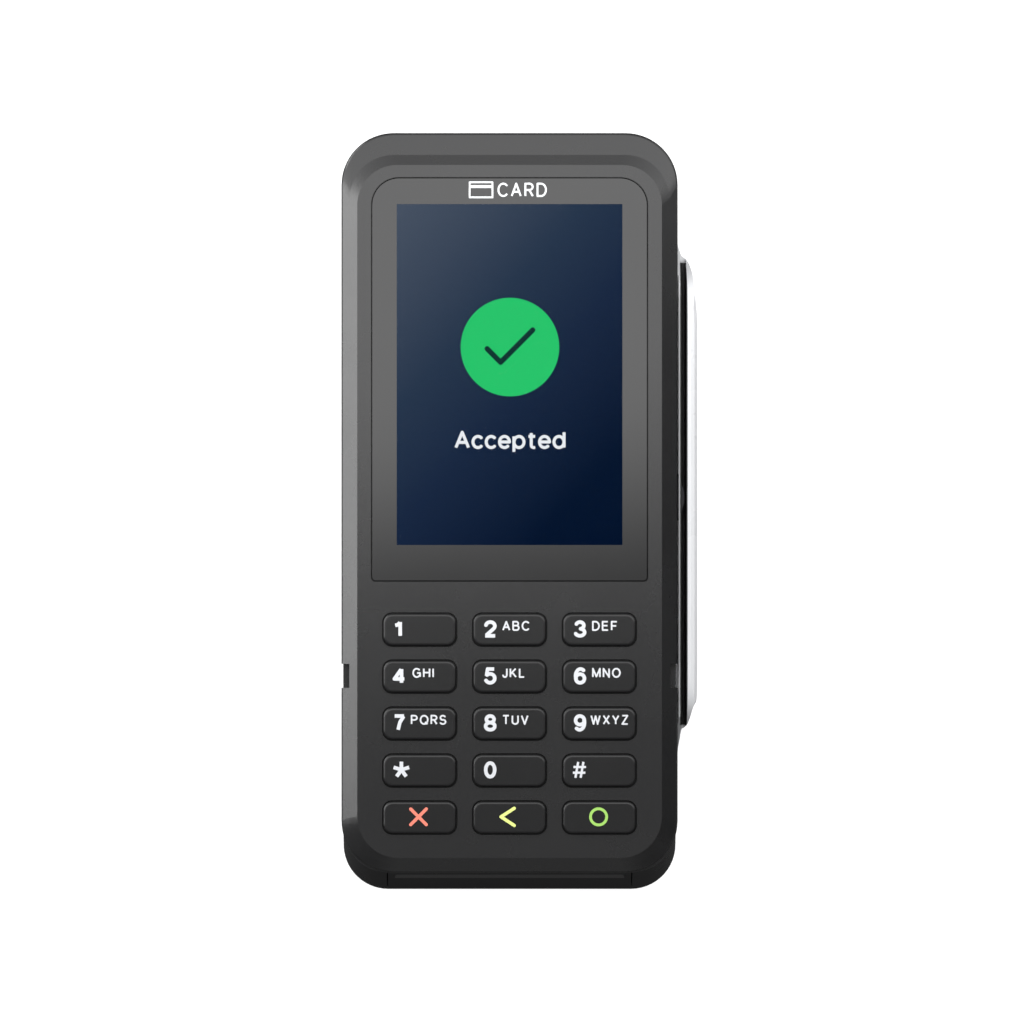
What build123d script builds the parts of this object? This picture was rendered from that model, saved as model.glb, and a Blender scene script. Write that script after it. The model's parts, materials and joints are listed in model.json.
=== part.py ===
from build123d import *
import os
from math import cos, radians, sin, tan

# Card payment terminal with a 4-inch display, fifteen keys, a chip-card slot at the front
# and a swipe groove along the right side. Millimetres.
# Frame: +X right, +Y away from the user, +Z up, feet on z = 0, origin under the middle of
# the bounding box. The face leans back by TILT, and places on it are given as u (across,
# from the body's centre line), v (up the face, from the front lip) and h (height over the
# face, negative inside). Places in plan are given as u and d, the distance behind the lip.

# Body
TILT = 7.0
BODY_WIDTH = 82.6
LOWER_WIDTH = 81.8
BODY_LENGTH = 181.6
LIP_HEIGHT = 21.5
EDGE_DEPTH = 3.4
EDGE_SIDE = 3.9
EDGE_FRONT = 3.45
EDGE_REAR = 8.0
EDGE_ROUND = 0.9
REAR_CREASE_DEPTH = 1.6
REAR_CREASE = 5.5
PLATE = 2.0
WALL = 2.2
PARTING = 7.0
FLOOR_BOTTOM = 1.2
FLOOR_TOP = 3.2
FRONT_FLARE = 2.85
CORNER_RADIUS = 12.8
LOWER_FRONT_RADIUS = 11.0
RAIL_REACH = 46.15

# Display
LENS_WIDTH = 67.8
LENS_FRONT = 71.4
LENS_REAR = 170.5
LENS_THICKNESS = 1.1
ADHESIVE = 0.2
DISPLAY_V = 121.5
DISPLAY_WIDTH = 58.4
DISPLAY_LENGTH = 90.0
PANEL_BACK = -3.1
BACKLIGHT_BACK = -4.6
BRACKET_BACK = -5.4

# Keys
KEY_PITCH_U = 22.05
KEY_PITCH_V = 11.53
KEYPAD_V = 36.46
KEY_WIDTH = 17.9
KEY_LENGTH = 7.9
KEY_RADIUS = 2.3
KEY_TOP = 1.1
KEY_GAP = 0.3
KEY_ROWS = (
    ("1", "2", "3"),
    ("4", "5", "6"),
    ("7", "8", "9"),
    ("star", "0", "hash"),
    ("cancel", "clear", "enter"),
)
DOME_TOP = -3.0
MAT_TOP = -4.4
MAT_BACK = -5.2
KEYPAD_BOARD_BACK = -6.2
KEYPAD_SCREWS = [(u, v) for v in (6.7, 67.2) for u in (-KEY_PITCH_U / 2, KEY_PITCH_U / 2)]

# Chip-card reader
CARD_TOP = -9.2
CARD_BOTTOM = -10.3
CARD_WIDTH = 54.6
READER_WIDTH = 60.8
READER_BACK = -12.6
READER_TOP = -7.6
READER_FRONT = 3.0
READER_REAR = 62.0
CARD_STOP = 58.0
READER_SCREWS = [(u, v) for v in (8.0, 54.0) for u in (-28.7, 28.7)]
BEZEL_HALF = 30.2
BEZEL_GAP = 0.3

# Swipe groove
RAIL_FACE = 41.35
GROOVE_INNER = 42.2
GROOVE_OUTER = 43.5
GROOVE_FOOT = 43.1
LINER = 0.25
RAIL_TOP = -3.2
RAIL_SHOULDER = -4.7
LAND_TOP = -7.0
RAIL_GAP = 0.25
PAD_TOP = -9.5
GROOVE_FLOOR = -19.5
RAIL_BACK = -21.5
RAMP_BACK = -13.5
HEAD_V = 92.0
HEAD_H = -11.8
HEAD_BACK_U = 35.4
SPRING_THICKNESS = 0.3

# Main board, screws and fittings
MAIN_BOARD_TOP = -9.0
MAIN_BOARD_BACK = -10.2
MAIN_BOARD_SCREWS = [(u, v) for v in (78.0, 158.0) for u in (-28.5, 28.5)]
BRACKET_SCREWS = [(u, v) for v in (71.4, 170.3) for u in (-24.0, 24.0)]
CASE_SCREWS = [(u, d) for d in (22.0, 68.0, 164.0) for u in (-35.6, 35.6)]
CASE_JOINT = -9.0
NOTCHES = [(-1, 48.15), (1, 48.15)]
FEET = [(-30.0, 13.0), (30.0, 13.0), (-26.0, 169.5), (26.0, 169.5)]
INSERTS = [(u, d) for d in (76.0, 136.0) for u in (-27.0, 27.0)]
DOOR_D = 100.0
DOOR_WIDTH = 46.0
DOOR_LENGTH = 34.0
LABEL_D = 52.0
SPEAKER_D = 134.0
PORT_Z = 14.0
PORT_BACK = 168.5
SAM_POSTS = [(u, d) for d in (88.0, 112.0) for u in (-25.5, 25.5)]
PORT_POSTS = [(u, 155.0) for u in (-9.0, 9.0)]

SLOPE = radians(TILT)
BODY_X = -(RAIL_REACH - BODY_WIDTH / 2) / 2
RIM_START = EDGE_DEPTH * sin(SLOPE)
BODY_END = RIM_START + BODY_LENGTH * cos(SLOPE)
LIP_Y = -(BODY_END + RIM_START - FRONT_FLARE) / 2


def face(h=0.0):
    """The plane parallel to the face at height h, with u and v as its X and Y."""
    return Plane(
        origin=(BODY_X, LIP_Y - h * sin(SLOPE), LIP_HEIGHT + h * cos(SLOPE)),
        x_dir=(1, 0, 0),
        z_dir=(0, -sin(SLOPE), cos(SLOPE)),
    )


def side(u):
    """The upright plane at u across the body, with v and h as its X and Y."""
    return Plane(
        origin=(BODY_X + u, LIP_Y, LIP_HEIGHT),
        x_dir=(0, cos(SLOPE), sin(SLOPE)),
        z_dir=(1, 0, 0),
    )


def across(v):
    """The plane square to the card's path at v, with u as its X and the depth -h as its Y."""
    return Plane(
        origin=(BODY_X, LIP_Y + v * cos(SLOPE), LIP_HEIGHT + v * sin(SLOPE)),
        x_dir=(1, 0, 0),
        z_dir=(0, cos(SLOPE), sin(SLOPE)),
    )


def plan(z):
    """The level plane at z, with u and d as its X and Y."""
    return Plane(origin=(BODY_X, LIP_Y, z))


def level(d, h):
    """The z of the plane at height h where it passes over plan distance d."""
    return LIP_HEIGHT + d * tan(SLOPE) + h / cos(SLOPE)


def plate(u, v, width, length, top, back, radius=0.0, mode=Mode.ADD):
    """A plate parallel to the face, centred on (u, v), from height top down to back."""
    with BuildSketch(face(top)) as outline:
        with Locations((u, v)):
            if radius:
                RectangleRounded(width, length, radius)
            else:
                Rectangle(width, length)
    extrude(outline.sketch, amount=back - top, mode=mode)


def pegs(places, diameter, top, back, mode=Mode.ADD):
    """Round pegs square to the face at each (u, v)."""
    with BuildSketch(face(top)) as ends:
        with Locations(*places):
            Circle(diameter / 2)
    extrude(ends.sketch, amount=back - top, mode=mode)


def block(u, d, width, length, bottom, top, mode=Mode.ADD):
    """A level block centred on (u, d), from z = bottom to z = top."""
    with BuildSketch(plan(bottom)) as outline:
        with Locations((u, d)):
            Rectangle(width, length)
    extrude(outline.sketch, amount=top - bottom, mode=mode)


def rounds(places, diameter, bottom, top, mode=Mode.ADD):
    """Upright round posts or holes at each (u, d)."""
    with BuildSketch(plan(bottom)) as ends:
        with Locations(*places):
            Circle(diameter / 2)
    extrude(ends.sketch, amount=top - bottom, mode=mode)


def rounded_outline(width, front, rear, front_radius, rear_radius):
    """A rectangle over the centre line from front to rear, with its own radii at each end."""
    with Locations((0, (front + rear) / 2)):
        Rectangle(width, rear - front)
    fillet(vertices().group_by(Axis.Y)[0], front_radius)
    fillet(vertices().group_by(Axis.Y)[-1], rear_radius)


def lower_body():
    """The lower housing's outer shape, solid, up to the parting plane."""
    with BuildSketch(plan(FLOOR_BOTTOM)) as base:
        rounded_outline(
            LOWER_WIDTH, RIM_START - FRONT_FLARE, BODY_END, LOWER_FRONT_RADIUS, CORNER_RADIUS
        )
    with BuildSketch(plan(level(0, -PARTING))) as waist:
        rounded_outline(
            LOWER_WIDTH, RIM_START + 0.25, BODY_END - 0.25, LOWER_FRONT_RADIUS, CORNER_RADIUS
        )
    loft(sections=[base.sketch, waist.sketch], ruled=True)
    chamfer(edges().group_by(Axis.Z)[0], 1.2)
    extrude(waist.sketch, amount=40)
    split(bisect_by=face(-PARTING), keep=Keep.BOTTOM)


def key_places():
    """Each key's name with its u and v."""
    for row, names in enumerate(KEY_ROWS):
        for column, name in enumerate(names):
            yield name, (column - 1) * KEY_PITCH_U, KEYPAD_V + (2 - row) * KEY_PITCH_V


os.makedirs("parts", exist_ok=True)
KEY_PLACES = [(u, v) for name, u, v in key_places()]

# Upper housing: the face plate with sloping edges and upright walls down to the parting plane
with BuildPart() as upper_housing:
    with BuildSketch(face(-EDGE_DEPTH)) as rim:
        rounded_outline(BODY_WIDTH, 0, BODY_LENGTH, CORNER_RADIUS, CORNER_RADIUS)
    with BuildSketch(face(-REAR_CREASE_DEPTH)) as crease:
        inset = 1 - REAR_CREASE_DEPTH / EDGE_DEPTH
        rounded_outline(
            BODY_WIDTH - 2 * EDGE_SIDE * inset,
            EDGE_FRONT * inset,
            BODY_LENGTH - REAR_CREASE,
            CORNER_RADIUS - 1.3,
            CORNER_RADIUS - 2.0,
        )
    with BuildSketch(face()) as top:
        rounded_outline(
            BODY_WIDTH - 2 * EDGE_SIDE,
            EDGE_FRONT,
            BODY_LENGTH - EDGE_REAR,
            CORNER_RADIUS - 2.6,
            CORNER_RADIUS - 3.0,
        )
    loft(sections=[rim.sketch, crease.sketch, top.sketch], ruled=True)
    extrude(rim.sketch, amount=(PARTING - EDGE_DEPTH) / cos(SLOPE), dir=(0, 0, -1))
    fillet(edges().filter_by(lambda e: abs(face(-EDGE_DEPTH).to_local_coords(e.center()).Z) < 0.01), EDGE_ROUND)
    plate(0, 88.2, BODY_WIDTH - 9.2, 167.4, -PLATE, -5.0, 8.0, Mode.SUBTRACT)
    plate(0, 90.4, BODY_WIDTH - 2 * WALL, 176.4, -5.0, -9.0, 11.0, Mode.SUBTRACT)
    # Bosses for the case, bracket and keypad screws
    for u, d in CASE_SCREWS:
        rounds([(u, d)], 6.0, level(d, CASE_JOINT), level(d, -1.65))
    pegs(KEYPAD_SCREWS, 3.6, -1.9, MAT_BACK)
    pegs(BRACKET_SCREWS, 3.2, -1.7, BACKLIGHT_BACK)
    # Lens recess, display window and key openings
    with BuildSketch(face(0.0)) as recess:
        rounded_outline(LENS_WIDTH + 0.3, LENS_FRONT - 0.15, LENS_REAR + 0.15, 1.1, 6.9)
    extrude(recess.sketch, amount=-(LENS_THICKNESS + ADHESIVE), mode=Mode.SUBTRACT)
    plate(0, DISPLAY_V, DISPLAY_WIDTH + 0.6, DISPLAY_LENGTH + 0.6, 0, -3.0, 0, Mode.SUBTRACT)
    with BuildSketch(face(0.0)) as openings:
        with Locations(*KEY_PLACES):
            RectangleRounded(KEY_WIDTH + 2 * KEY_GAP, KEY_LENGTH + 2 * KEY_GAP, KEY_RADIUS + 0.2)
    extrude(openings.sketch, amount=-3.0, mode=Mode.SUBTRACT)
    # Notches at both sides, backed by a thicker wall
    for hand, v in NOTCHES:
        plate(hand * 38.1, v, 2.6, 10.0, -4.9, -6.9)
        plate(hand * 40.4, v, 2.1, 5.9, 1.0, -9.0, 0, Mode.SUBTRACT)
    # Screw bores
    for u, d in CASE_SCREWS:
        rounds([(u, d)], 2.7, level(d, CASE_JOINT) - 1, level(d, CASE_JOINT) + 5.5, Mode.SUBTRACT)
    pegs(KEYPAD_SCREWS, 1.6, -2.8, -6.0, Mode.SUBTRACT)
    pegs(BRACKET_SCREWS, 1.6, -2.6, -6.0, Mode.SUBTRACT)
upper_housing.part.label = "upper_housing"
export_step(upper_housing.part, "parts/upper_housing.step")

# Lower housing: floor, walls, screw wells, posts and the port recess
with BuildPart() as lower_housing:
    lower_body()
    with BuildSketch(plan(FLOOR_TOP)) as hollow:
        rounded_outline(LOWER_WIDTH - 2 * WALL, RIM_START + WALL, BODY_END - WALL, 8.8, 10.6)
    extrude(hollow.sketch, amount=60, mode=Mode.SUBTRACT)
    for u, d in CASE_SCREWS:
        rounds([(u, d)], 8.6, FLOOR_TOP - 0.5, level(d, CASE_JOINT))
    for places, diameter, top in (
        (READER_SCREWS, 4.4, READER_BACK),
        (MAIN_BOARD_SCREWS, 5.0, MAIN_BOARD_BACK),
    ):
        for u, v in places:
            depth = top + (LIP_HEIGHT + v * sin(SLOPE) - 2.4) / cos(SLOPE)
            pegs([(u, v)], diameter, top, top - depth)
            pegs([(u, v)], 1.6, top, top - 6.0, Mode.SUBTRACT)
    rounds(SAM_POSTS, 4.4, FLOOR_TOP - 0.5, 8.0)
    rounds(PORT_POSTS, 4.4, FLOOR_TOP - 0.5, PORT_Z - 4.1)
    rounds(INSERTS, 8.0, FLOOR_TOP - 0.5, 7.2)
    block(0, 173.5, 22.4, 12.0, 6.8, 21.2)
    block(0, 84.5, 12.0, 9.0, FLOOR_TOP, FLOOR_TOP + 2.5)
    block(0, 81.0, 12.0, 4.0, FLOOR_BOTTOM + 0.5, FLOOR_TOP + 2.5)
    # Pads for the magnetic head's leaf spring
    for v in (HEAD_V - 11.5, HEAD_V + 11.5):
        plate((HEAD_BACK_U + 39.2) / 2, v, 39.2 - HEAD_BACK_U, 3.0, HEAD_H + 1.3, HEAD_H - 2.5)
    # Openings
    block(0, 0, 2 * BEZEL_HALF, 8.0, FLOOR_TOP + 0.1, 30.0, Mode.SUBTRACT)
    block(0, 175.5, 18.0, 14.0, PORT_Z - 5, PORT_Z + 5, Mode.SUBTRACT)
    block(0, 167.5, 13.0, 8.0, PORT_Z - 2.5, PORT_Z + 2.5, Mode.SUBTRACT)
    block(0, DOOR_D, DOOR_WIDTH, DOOR_LENGTH, 0, FLOOR_TOP, Mode.SUBTRACT)
    block(0, LABEL_D, 56.4, 24.4, 0, FLOOR_BOTTOM + 0.25, Mode.SUBTRACT)
    plate(39.4, HEAD_V, 4.0, 12.6, 0, HEAD_H - 4.2, 0, Mode.SUBTRACT)
    rounds(FEET, 12.2, 0, FLOOR_BOTTOM + 0.8, Mode.SUBTRACT)
    rounds(INSERTS, 5.0, 0, FLOOR_BOTTOM + 5.0, Mode.SUBTRACT)
    rounds([(0, DOOR_D - 13.0)], 2.4, FLOOR_TOP, 8.0, Mode.SUBTRACT)
    for u, d in CASE_SCREWS:
        rounds([(u, d)], 3.2, 0, level(d, CASE_JOINT) + 1, Mode.SUBTRACT)
        rounds([(u, d)], 6.2, 0, level(d, CASE_JOINT) - 5, Mode.SUBTRACT)
    with BuildSketch(plan(0)) as grille:
        with Locations((0, SPEAKER_D)):
            with PolarLocations(4.0, 6):
                Circle(0.9)
            Circle(0.9)
    extrude(grille.sketch, amount=FLOOR_TOP, mode=Mode.SUBTRACT)
    with BuildSketch(side(38)) as rail_holes:
        with Locations((60, -14), (125, -14)):
            Circle(1.6)
    extrude(rail_holes.sketch, amount=5, mode=Mode.SUBTRACT)
lower_housing.part.label = "lower_housing"
export_step(lower_housing.part, "parts/lower_housing.step")

# Card slot bezel: the middle of the front wall, with a mouth that narrows to the slot
with BuildPart() as card_slot_bezel:
    lower_body()
    block(0, 0, 2 * (BEZEL_HALF - BEZEL_GAP), 6.2, FLOOR_TOP + 0.2, 30.0, Mode.INTERSECT)
    slot_depth = -(CARD_TOP + CARD_BOTTOM) / 2
    with BuildSketch(across(-2.6)) as mouth:
        with Locations((0, slot_depth)):
            Rectangle(CARD_WIDTH + 2.4, 3.0)
    with BuildSketch(across(0.8)) as throat:
        with Locations((0, slot_depth)):
            Rectangle(CARD_WIDTH + 0.6, 1.5)
    loft(sections=[mouth.sketch, throat.sketch], mode=Mode.SUBTRACT)
    extrude(throat.sketch, amount=4, mode=Mode.SUBTRACT)
card_slot_bezel.part.label = "card_slot_bezel"
export_step(card_slot_bezel.part, "parts/card_slot_bezel.step")

# Display stack, from the lens down
with BuildPart() as display_lens:
    with BuildSketch(face(-LENS_THICKNESS)) as outline:
        rounded_outline(LENS_WIDTH, LENS_FRONT, LENS_REAR, 1.0, 6.8)
    extrude(outline.sketch, amount=LENS_THICKNESS)
    chamfer(faces().sort_by(Axis((0, 0, 0), face().z_dir))[-1].edges(), 0.2)
display_lens.part.label = "display_lens"
export_step(display_lens.part, "parts/display_lens.step")

with BuildPart() as lens_adhesive:
    with BuildSketch(face(-LENS_THICKNESS)) as ring:
        rounded_outline(LENS_WIDTH - 0.8, LENS_FRONT + 0.4, LENS_REAR - 0.4, 0.8, 6.4)
        with Locations((0, DISPLAY_V)):
            Rectangle(DISPLAY_WIDTH + 0.6, DISPLAY_LENGTH + 0.6, mode=Mode.SUBTRACT)
    extrude(ring.sketch, amount=-ADHESIVE)
lens_adhesive.part.label = "lens_adhesive"
export_step(lens_adhesive.part, "parts/lens_adhesive.step")

with BuildPart() as display_panel:
    plate(0, DISPLAY_V, DISPLAY_WIDTH, DISPLAY_LENGTH, -LENS_THICKNESS - ADHESIVE, PANEL_BACK)
display_panel.part.label = "display_panel"
export_step(display_panel.part, "parts/display_panel.step")

with BuildPart() as display_backlight:
    plate(0, DISPLAY_V, DISPLAY_WIDTH, DISPLAY_LENGTH, PANEL_BACK, BACKLIGHT_BACK, 1.0)
display_backlight.part.label = "display_backlight"
export_step(display_backlight.part, "parts/display_backlight.step")

with BuildPart() as display_bracket:
    plate(0, 120.8, 64.6, 101.8, BACKLIGHT_BACK, BRACKET_BACK, 2.0)
    plate(0, 73.0, 24.0, 12.0, BACKLIGHT_BACK, BRACKET_BACK, 0, Mode.SUBTRACT)
    for v in (102.0, 141.0):
        plate(0, v, 40.0, 28.0, BACKLIGHT_BACK, BRACKET_BACK, 3.0, Mode.SUBTRACT)
    pegs(BRACKET_SCREWS, 1.8, BACKLIGHT_BACK, BRACKET_BACK, Mode.SUBTRACT)
display_bracket.part.label = "display_bracket"
export_step(display_bracket.part, "parts/display_bracket.step")

for name, thickness, top in (
    ("contactless_antenna", 0.25, -PLATE),
    ("ferrite_sheet", 0.3, -PLATE - 0.25),
):
    with BuildPart() as loop:
        plate(0, 121.5, 64.8, 94.2, top, top - thickness, 3.0)
        plate(0, 121.5, 59.6, 91.2, top, top - thickness, 1.0, Mode.SUBTRACT)
    loop.part.label = name
    export_step(loop.part, f"parts/{name}.step")

for name, u, width, route in (
    ("display_flex", 0.0, 20.0, [(76.5, -2.8), (74.9, -2.8), (74.9, -7.9), (82.0, -7.9)]),
    ("keypad_flex", -18.0, 10.0, [(66.0, -6.35), (70.6, -6.35), (70.6, -7.9), (80.0, -7.9)]),
):
    with BuildPart() as ribbon:
        with BuildSketch(side(u)) as edge:
            with BuildLine():
                FilletPolyline(*route, radius=0.7)
            trace(line_width=0.2)
        extrude(edge.sketch, amount=width / 2, both=True)
    ribbon.part.label = name
    export_step(ribbon.part, f"parts/{name}.step")

# Keys: a cap with a wider skirt that is held under the face plate
for name, u, v in key_places():
    with BuildPart() as key:
        plate(u, v, KEY_WIDTH, KEY_LENGTH, KEY_TOP, -2.05, KEY_RADIUS)
        fillet(faces().sort_by(Axis((0, 0, 0), face().z_dir))[-1].edges(), 0.7)
        plate(u, v, KEY_WIDTH + 1.6, KEY_LENGTH + 1.5, -2.05, DOME_TOP, 1.5)
    key.part.label = f"key_{name}"
    export_step(key.part, f"parts/key_{name}.step")

with BuildPart() as keypad_mat:
    plate(0, 37.0, 64.4, 56.4, MAT_TOP, MAT_BACK, 2.0)
    with BuildSketch(face(MAT_TOP)) as feet_of_domes:
        with Locations(*KEY_PLACES):
            Circle(3.6)
    extrude(feet_of_domes.sketch, amount=DOME_TOP - MAT_TOP, taper=45)
    with BuildSketch(face(MAT_BACK)) as hollows:
        with Locations(*KEY_PLACES):
            Circle(2.9)
    extrude(hollows.sketch, amount=1.6, taper=40, mode=Mode.SUBTRACT)
keypad_mat.part.label = "keypad_mat"
export_step(keypad_mat.part, "parts/keypad_mat.step")

with BuildPart() as contact_domes:
    pegs(KEY_PLACES, 4.0, MAT_BACK + 0.25, MAT_BACK)
contact_domes.part.label = "contact_domes"
export_step(contact_domes.part, "parts/contact_domes.step")

with BuildPart() as keypad_board:
    plate(0, 37.2, 65.0, 64.6, MAT_BACK, KEYPAD_BOARD_BACK, 1.0)
    pegs(KEYPAD_SCREWS, 1.8, MAT_BACK, KEYPAD_BOARD_BACK, Mode.SUBTRACT)
keypad_board.part.label = "keypad_board"
export_step(keypad_board.part, "parts/keypad_board.step")

# Chip-card reader: cover, base with side guides and end stop, contacts and switch
READER_V = (READER_FRONT + READER_REAR) / 2
READER_LENGTH = READER_REAR - READER_FRONT
CONTACT_V = CARD_STOP - 15.0
SWITCH_U = 12.0
with BuildPart() as card_contacts:
    with BuildSketch(face(READER_TOP - 0.4)) as pads:
        with Locations((3.1, CONTACT_V)):
            with GridLocations(2.54, 7.62, 4, 2):
                Rectangle(1.4, 3.0)
    extrude(pads.sketch, amount=CARD_TOP - 0.3 - (READER_TOP - 0.4))
card_contacts.part.label = "card_contacts"
export_step(card_contacts.part, "parts/card_contacts.step")

with BuildPart() as card_reader_cover:
    plate(0, READER_V, READER_WIDTH, READER_LENGTH, READER_TOP, CARD_TOP, 1.0)
    pegs(READER_SCREWS, 1.8, READER_TOP, CARD_TOP, Mode.SUBTRACT)
    with BuildSketch(face(READER_TOP - 0.4)) as pockets:
        with Locations((3.1, CONTACT_V)):
            with GridLocations(2.54, 7.62, 4, 2):
                Rectangle(1.4, 3.0)
    extrude(pockets.sketch, amount=CARD_TOP - (READER_TOP - 0.4), mode=Mode.SUBTRACT)
card_reader_cover.part.label = "card_reader_cover"
export_step(card_reader_cover.part, "parts/card_reader_cover.step")

with BuildPart() as card_reader_base:
    plate(0, READER_V, READER_WIDTH, READER_LENGTH, CARD_TOP, READER_BACK, 1.0)
    plate(0, (READER_FRONT - 2 + CARD_STOP) / 2, CARD_WIDTH, CARD_STOP - READER_FRONT + 2,
          CARD_TOP, CARD_BOTTOM, 0, Mode.SUBTRACT)
    plate(SWITCH_U, 60.5, 1.2, 6.0, CARD_TOP, CARD_BOTTOM, 0, Mode.SUBTRACT)
    pegs(READER_SCREWS, 1.8, CARD_TOP, READER_BACK, Mode.SUBTRACT)
card_reader_base.part.label = "card_reader_base"
export_step(card_reader_base.part, "parts/card_reader_base.step")

PLUNGER_DEPTH = -(CARD_TOP + CARD_BOTTOM) / 2
with BuildPart() as card_switch_plunger:
    with BuildSketch(across(56.4)) as tip:
        with Locations((SWITCH_U, PLUNGER_DEPTH)):
            Circle(0.45)
    extrude(tip.sketch, amount=7.4)
card_switch_plunger.part.label = "card_switch_plunger"
export_step(card_switch_plunger.part, "parts/card_switch_plunger.step")

with BuildPart() as card_switch_body:
    plate(SWITCH_U, 65.0, 6.0, 6.0, -8.4, -11.6)
    with BuildSketch(across(62.0)) as bore:
        with Locations((SWITCH_U, PLUNGER_DEPTH)):
            Circle(0.55)
    extrude(bore.sketch, amount=5.0, mode=Mode.SUBTRACT)
card_switch_body.part.label = "card_switch_body"
export_step(card_switch_body.part, "parts/card_switch_body.step")

# Main board and what it carries
with BuildPart() as main_board:
    plate(0, 121.5, 62.4, 99.0, MAIN_BOARD_TOP, MAIN_BOARD_BACK, 1.5)
    pegs(MAIN_BOARD_SCREWS, 1.8, MAIN_BOARD_TOP, MAIN_BOARD_BACK, Mode.SUBTRACT)
main_board.part.label = "main_board"
export_step(main_board.part, "parts/main_board.step")

with BuildPart() as processor_shield:
    plate(0, 112.0, 34.0, 30.0, -6.8, MAIN_BOARD_TOP, 1.0)
    plate(0, 112.0, 33.4, 29.4, -7.1, MAIN_BOARD_TOP, 0.8, Mode.SUBTRACT)
processor_shield.part.label = "processor_shield"
export_step(processor_shield.part, "parts/processor_shield.step")

with BuildPart() as board_chips:
    for u, v, width, length, top in (
        (-5.0, 112.0, 12.0, 12.0, -7.9),
        (8.0, 112.0, 9.0, 11.0, -8.0),
        (-14.0, 146.0, 10.0, 7.0, -7.8),
        (12.0, 148.0, 7.0, 7.0, -7.9),
    ):
        plate(u, v, width, length, top, MAIN_BOARD_TOP)
board_chips.part.label = "board_chips"
export_step(board_chips.part, "parts/board_chips.step")

with BuildPart() as board_connectors:
    plate(0, 79.5, 22.0, 4.0, -8.0, MAIN_BOARD_TOP)
    plate(-18.0, 77.5, 11.0, 4.0, -8.0, MAIN_BOARD_TOP)
board_connectors.part.label = "board_connectors"
export_step(board_connectors.part, "parts/board_connectors.step")

with BuildPart() as battery_holder:
    plate(0, 142.0, 23.0, 23.0, MAIN_BOARD_BACK, -14.0, 2.0)
    pegs([(0, 142.0)], 20.2, -10.8, -14.0, Mode.SUBTRACT)
battery_holder.part.label = "battery_holder"
export_step(battery_holder.part, "parts/battery_holder.step")

with BuildPart() as backup_battery:
    pegs([(0, 142.0)], 20.0, -10.8, -14.0)
backup_battery.part.label = "backup_battery"
export_step(backup_battery.part, "parts/backup_battery.step")

with BuildPart() as speaker:
    rounds([(0, SPEAKER_D)], 20.0, FLOOR_TOP, FLOOR_TOP + 4.5)
    fillet(faces().sort_by(Axis.Z)[-1].edges(), 0.8)
speaker.part.label = "speaker"
export_step(speaker.part, "parts/speaker.step")

# Swipe rail with its lining, head and leaf spring
def bulge(h, inset):
    """The rail's outline at height h, with its outer side drawn in by inset."""
    share = (RAIL_REACH - inset - RAIL_FACE) / (RAIL_REACH - RAIL_FACE)

    def place(reach, v):
        return (RAIL_FACE + reach * share, v)

    with BuildSketch(face(h)) as outline:
        with BuildLine():
            lower_tail = ThreePointArc(place(0, 28.0), place(0.35, 31.5), place(1.1, 35.0))
            lower_end = Spline(
                lower_tail @ 1, place(2.5, 36.5), place(3.75, 40.3), place(4.8, 52.0), tangents=((1, 0.3), (0, 1))
            )
            upper_end = Spline(
                place(4.8, 134.0), place(4.05, 143.6), place(3.1, 148.8), place(1.1, 151.4),
                tangents=((0, 1), (-1, 0.4)),
            )
            upper_tail = ThreePointArc(upper_end @ 1, place(0.42, 153.1), place(0, 155.0))
            Line(lower_end @ 1, upper_end @ 0)
            Line(upper_tail @ 1, lower_tail @ 0)
        make_face()
    return outline.sketch


def groove(margin, top, start, length, mode):
    """The groove's shape, wider at its top, with margin added on its sides and floor."""
    lean = (GROOVE_OUTER - GROOVE_FOOT) / (RAIL_TOP - GROOVE_FLOOR)
    with BuildSketch(across(start)) as opening:
        with BuildLine():
            Polyline(
                (GROOVE_INNER - margin, -top),
                (GROOVE_OUTER + margin + lean * (top - RAIL_TOP), -top),
                (GROOVE_FOOT + margin - lean * margin, margin - GROOVE_FLOOR),
                (GROOVE_INNER - margin, margin - GROOVE_FLOOR),
                close=True,
            )
        make_face()
    extrude(opening.sketch, amount=length, mode=mode)


def ramps(drop):
    """Cuts both ends of the rail down to ramps, lower by drop."""
    with BuildSketch(side(RAIL_FACE - 0.1)) as above:
        for end, heading in ((26.0, 1), (157.0, -1)):
            with BuildLine():
                curve = Spline(
                    (end + heading * 1.5, RAIL_BACK - drop),
                    (end + heading * 8.0, RAMP_BACK - drop),
                    (end + heading * 12.5, -6.5 - drop),
                    (end + heading * 22.0, RAIL_TOP - drop),
                    tangents=((heading, 0.8), (heading, 0)),
                )
                Polyline(curve @ 1, (end + heading * 22.0, 1), (end, 1), (end, RAIL_BACK - drop), curve @ 0)
            make_face()
    extrude(above.sketch, amount=8, mode=Mode.SUBTRACT)


def head_window(start, depth):
    """Cuts the way for the magnetic head through a wall."""
    with BuildSketch(side(start)) as window:
        with Locations((HEAD_V, HEAD_H)):
            Rectangle(12.4, 8.0)
    extrude(window.sketch, amount=depth, mode=Mode.SUBTRACT)


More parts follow.
